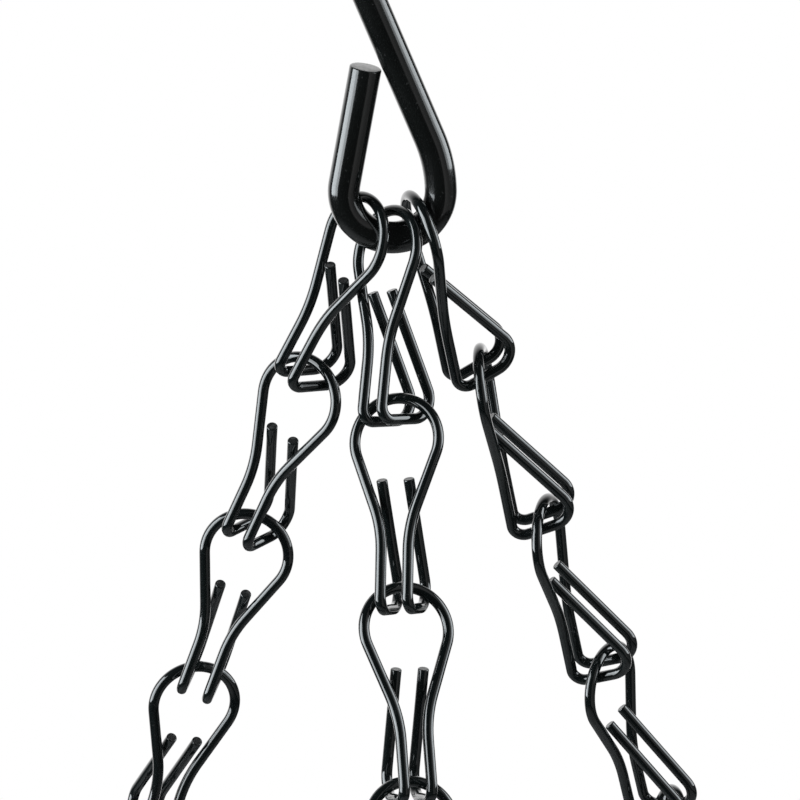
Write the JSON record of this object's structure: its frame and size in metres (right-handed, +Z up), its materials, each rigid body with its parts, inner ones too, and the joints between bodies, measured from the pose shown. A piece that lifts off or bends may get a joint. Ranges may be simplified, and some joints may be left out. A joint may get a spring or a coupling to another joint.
{
  "type": "metal hanging basket",
  "caption": "Round wire basket hung from chains of folded wire links that meet on the eye of an S-shaped hook.",
  "frame": {"origin": "the hang point: the inside top of the hook's upper bend, where the object rests on its support", "axes": "+Z up through the hook, the hook's wire lies in the XZ plane, and the front chain hangs towards -Y"},
  "size_m": [0.2461, 0.2509, 0.5099],
  "materials": {
    "hook": "glossy black lacquer",
    "left_link": "glossy black lacquer",
    "front_link": "glossy black lacquer",
    "right_link": "glossy black lacquer",
    "rim": "gloss black coating",
    "upper_hoop": "gloss black coating",
    "lower_hoop": "gloss black coating",
    "base_ring": "gloss black coating",
    "rib": "gloss black coating"
  },
  "bodies": {
    "hook": {"hook": "hook"},
    "basket": {"rim": "rim", "upper_hoop": "upper_hoop", "lower_hoop": "lower_hoop", "base_ring": "base_ring", "rib_01": "rib", "rib_02": "rib", "rib_03": "rib", "rib_04": "rib", "rib_05": "rib", "rib_06": "rib", "rib_07": "rib", "rib_08": "rib", "rib_09": "rib", "rib_10": "rib", "rib_11": "rib", "rib_12": "rib", "left_link_01": "left_link", "left_link_10": "left_link", "front_link_01": "front_link", "front_link_10": "front_link", "right_link_01": "right_link", "right_link_10": "right_link"},
    "left_link_02": {"left_link_02": "left_link"},
    "left_link_03": {"left_link_03": "left_link"},
    "left_link_04": {"left_link_04": "left_link"},
    "left_link_05": {"left_link_05": "left_link"},
    "left_link_06": {"left_link_06": "left_link"},
    "left_link_07": {"left_link_07": "left_link"},
    "left_link_08": {"left_link_08": "left_link"},
    "left_link_09": {"left_link_09": "left_link"},
    "front_link_02": {"front_link_02": "front_link"},
    "front_link_03": {"front_link_03": "front_link"},
    "front_link_04": {"front_link_04": "front_link"},
    "front_link_05": {"front_link_05": "front_link"},
    "front_link_06": {"front_link_06": "front_link"},
    "front_link_07": {"front_link_07": "front_link"},
    "front_link_08": {"front_link_08": "front_link"},
    "front_link_09": {"front_link_09": "front_link"},
    "right_link_02": {"right_link_02": "right_link"},
    "right_link_03": {"right_link_03": "right_link"},
    "right_link_04": {"right_link_04": "right_link"},
    "right_link_05": {"right_link_05": "right_link"},
    "right_link_06": {"right_link_06": "right_link"},
    "right_link_07": {"right_link_07": "right_link"},
    "right_link_08": {"right_link_08": "right_link"},
    "right_link_09": {"right_link_09": "right_link"}
  },
  "joints": [
    {"name": "basket_swing", "type": "hinge", "parent": "hook", "child": "basket", "pos_m": [0, 0, -0.08289], "axis": [0, 1, 0], "range_deg": [-30, 30]},
    {"name": "left_link_02_twist", "type": "hinge", "parent": "basket", "child": "left_link_02", "pos_m": [-0.01321, 0.00624, -0.11394], "axis": [-0.3275, 0.1947, -0.9246], "range_deg": [-3, 3]},
    {"name": "left_link_03_twist", "type": "hinge", "parent": "basket", "child": "left_link_03", "pos_m": [-0.02343, 0.01231, -0.14278], "axis": [-0.3275, 0.1947, -0.9246], "range_deg": [-3, 3]},
    {"name": "left_link_04_twist", "type": "hinge", "parent": "basket", "child": "left_link_04", "pos_m": [-0.03367, 0.0184, -0.17169], "axis": [-0.3275, 0.1947, -0.9246], "range_deg": [-3, 3]},
    {"name": "left_link_05_twist", "type": "hinge", "parent": "basket", "child": "left_link_05", "pos_m": [-0.04398, 0.02453, -0.20081], "axis": [-0.3275, 0.1947, -0.9246], "range_deg": [-7, 7]},
    {"name": "left_link_06_twist", "type": "hinge", "parent": "basket", "child": "left_link_06", "pos_m": [-0.0543, 0.03067, -0.22994], "axis": [-0.3275, 0.1947, -0.9246], "range_deg": [-7, 7]},
    {"name": "left_link_07_twist", "type": "hinge", "parent": "basket", "child": "left_link_07", "pos_m": [-0.06461, 0.0368, -0.25906], "axis": [-0.3275, 0.1947, -0.9246], "range_deg": [-7, 7]},
    {"name": "left_link_08_twist", "type": "hinge", "parent": "basket", "child": "left_link_08", "pos_m": [-0.07493, 0.04293, -0.28819], "axis": [-0.3275, 0.1947, -0.9246], "range_deg": [-7, 7]},
    {"name": "left_link_09_twist", "type": "hinge", "parent": "basket", "child": "left_link_09", "pos_m": [-0.08524, 0.04906, -0.31731], "axis": [-0.3275, 0.1947, -0.9246], "range_deg": [-7, 7]},
    {"name": "front_link_02_twist", "type": "hinge", "parent": "basket", "child": "front_link_02", "pos_m": [-0.00022, -0.01043, -0.11508], "axis": [-0.0011, -0.3912, -0.9203], "range_deg": [-2, 2]},
    {"name": "front_link_03_twist", "type": "hinge", "parent": "basket", "child": "front_link_03", "pos_m": [-0.00025, -0.02249, -0.14345], "axis": [-0.0011, -0.3912, -0.9203], "range_deg": [-2, 2]},
    {"name": "front_link_04_twist", "type": "hinge", "parent": "basket", "child": "front_link_04", "pos_m": [-0.00029, -0.03482, -0.17247], "axis": [-0.0011, -0.3912, -0.9203], "range_deg": [-9, 9]},
    {"name": "front_link_05_twist", "type": "hinge", "parent": "basket", "child": "front_link_05", "pos_m": [-0.00032, -0.04715, -0.20149], "axis": [-0.0011, -0.3912, -0.9203], "range_deg": [-9, 9]},
    {"name": "front_link_06_twist", "type": "hinge", "parent": "basket", "child": "front_link_06", "pos_m": [-0.00036, -0.05948, -0.2305], "axis": [-0.0011, -0.3912, -0.9203], "range_deg": [-9, 9]},
    {"name": "front_link_07_twist", "type": "hinge", "parent": "basket", "child": "front_link_07", "pos_m": [-0.00039, -0.07182, -0.25952], "axis": [-0.0011, -0.3912, -0.9203], "range_deg": [-9, 9]},
    {"name": "front_link_08_twist", "type": "hinge", "parent": "basket", "child": "front_link_08", "pos_m": [-0.00042, -0.08415, -0.28853], "axis": [-0.0011, -0.3912, -0.9203], "range_deg": [-9, 9]},
    {"name": "front_link_09_twist", "type": "hinge", "parent": "basket", "child": "front_link_09", "pos_m": [-0.00046, -0.09648, -0.31755], "axis": [-0.0011, -0.3912, -0.9203], "range_deg": [-9, 9]},
    {"name": "right_link_02_twist", "type": "hinge", "parent": "basket", "child": "right_link_02", "pos_m": [0.01362, 0.00567, -0.11322], "axis": [0.322, 0.1965, -0.9261], "range_deg": [-5, 5]},
    {"name": "right_link_03_twist", "type": "hinge", "parent": "basket", "child": "right_link_03", "pos_m": [0.02375, 0.01185, -0.14236], "axis": [0.322, 0.1965, -0.9261], "range_deg": [-5, 5]},
    {"name": "right_link_04_twist", "type": "hinge", "parent": "basket", "child": "right_link_04", "pos_m": [0.03387, 0.01803, -0.17147], "axis": [0.322, 0.1965, -0.9261], "range_deg": [-5, 5]},
    {"name": "right_link_05_twist", "type": "hinge", "parent": "basket", "child": "right_link_05", "pos_m": [0.044, 0.02421, -0.20063], "axis": [0.322, 0.1965, -0.9261], "range_deg": [-6, 6]},
    {"name": "right_link_06_twist", "type": "hinge", "parent": "basket", "child": "right_link_06", "pos_m": [0.05414, 0.0304, -0.22978], "axis": [0.322, 0.1965, -0.9261], "range_deg": [-6, 6]},
    {"name": "right_link_07_twist", "type": "hinge", "parent": "basket", "child": "right_link_07", "pos_m": [0.06427, 0.03658, -0.25894], "axis": [0.322, 0.1965, -0.9261], "range_deg": [-6, 6]},
    {"name": "right_link_08_twist", "type": "hinge", "parent": "basket", "child": "right_link_08", "pos_m": [0.07441, 0.04277, -0.28809], "axis": [0.322, 0.1965, -0.9261], "range_deg": [-6, 6]},
    {"name": "right_link_09_twist", "type": "hinge", "parent": "basket", "child": "right_link_09", "pos_m": [0.08454, 0.04895, -0.31724], "axis": [0.322, 0.1965, -0.9261], "range_deg": [-6, 6]}
  ]
}
